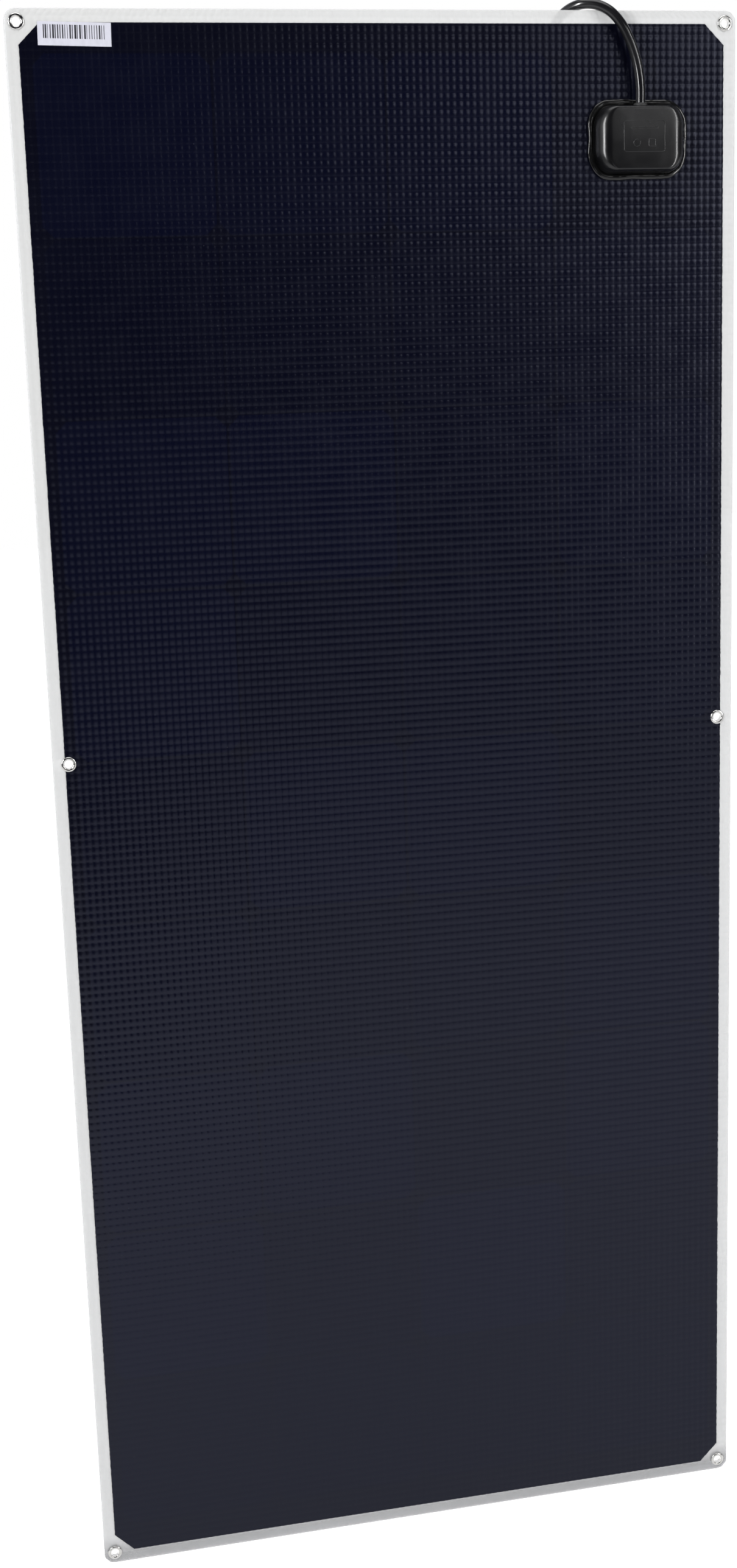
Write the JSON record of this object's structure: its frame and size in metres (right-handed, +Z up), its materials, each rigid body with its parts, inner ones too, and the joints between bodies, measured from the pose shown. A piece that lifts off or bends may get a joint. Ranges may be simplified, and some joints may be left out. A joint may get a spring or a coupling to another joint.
{
  "type": "flexible solar sheet",
  "caption": "Tall flexible solar laminate with embossed front, clear border, metal eyelets, and a corner junction box whose lead hangs over the top edge.",
  "frame": {"origin": "midway between the two top eyelets, on the rear face of the sheet", "axes": "+Z up the sheet's length, +Y out of its rear face (the embossed face looks along -Y), +X to the right seen from the front"},
  "size_m": [0.542, 0.0656, 1.2128],
  "materials": {
    "clear_film": "clear embossed fluoropolymer film, semi-gloss, with small square relief all over",
    "encapsulant": "clear cross-linked encapsulant, slightly milky at its edges",
    "core_sheet": "black glass-fibre backing sheet, matt",
    "rear_film": "translucent white weather film, satin, faintly embossed",
    "solar_cell": "back-contact silicon, dark blue with a textured anti-reflection face",
    "ribbon": "tinned copper ribbon",
    "eyelet": "nickel-plated brass, polished",
    "label": "white gloss-coated paper label with plain dark bars",
    "sealant": "black silicone adhesive, glossy and uneven",
    "box_plastic": "black moulded plastic with fine spark texture",
    "rubber": "black silicone rubber, dull",
    "terminal": "bare copper alloy",
    "diode": "black moulded epoxy",
    "screw": "zinc-plated steel",
    "lead_sheath": "black rubbery sheath, glossy, unprinted",
    "core_red": "red core insulation",
    "core_black": "black core insulation",
    "ferrule": "tinned copper ferrule"
  },
  "bodies": {
    "root": {"front_film_upper": "clear_film", "front_encapsulant_upper": "encapsulant", "rear_encapsulant_upper": "encapsulant", "core_sheet_upper": "core_sheet", "rear_film_upper": "rear_film", "cell_string_1_upper": "solar_cell", "cell_string_2_upper": "solar_cell", "cell_string_3_upper": "solar_cell", "cell_string_4_upper": "solar_cell", "bus_ribbon_top": "ribbon", "positive_ribbon": "ribbon", "negative_ribbon": "ribbon", "eyelet_top_left": "eyelet", "eyelet_top_right": "eyelet", "eyelet_middle_left": "eyelet", "eyelet_middle_right": "eyelet", "eyelet_washer_top_left": "eyelet", "eyelet_washer_top_right": "eyelet", "eyelet_washer_middle_left": "eyelet", "eyelet_washer_middle_right": "eyelet", "identification_label": "label", "adhesive_bead": "sealant", "box_base": "box_plastic", "box_cover": "box_plastic", "cable_clamp": "box_plastic", "cover_gasket": "rubber", "cable_seal": "rubber", "positive_terminal": "terminal", "negative_terminal": "terminal", "bypass_diode": "diode", "clamp_screw_left": "screw", "clamp_screw_right": "screw", "lead_sheath": "lead_sheath", "positive_core": "core_red", "positive_inner_core": "core_red", "negative_core": "core_black", "negative_inner_core": "core_black", "positive_ferrule": "ferrule", "negative_ferrule": "ferrule"},
    "lower_half": {"front_film_lower": "clear_film", "front_encapsulant_lower": "encapsulant", "rear_encapsulant_lower": "encapsulant", "core_sheet_lower": "core_sheet", "rear_film_lower": "rear_film", "cell_string_1_lower": "solar_cell", "cell_string_2_lower": "solar_cell", "cell_string_3_lower": "solar_cell", "cell_string_4_lower": "solar_cell", "bus_ribbon_bottom_left": "ribbon", "bus_ribbon_bottom_right": "ribbon", "eyelet_bottom_left": "eyelet", "eyelet_bottom_right": "eyelet", "eyelet_washer_bottom_left": "eyelet", "eyelet_washer_bottom_right": "eyelet"}
  },
  "joints": [
    {"name": "sheet_flex", "type": "hinge", "parent": "root", "child": "lower_half", "pos_m": [0, -0.00131, -0.6552], "axis": [1, 0, 0], "range_deg": [-10, 10], "stiffness_Nm_per_rad": 6}
  ]
}
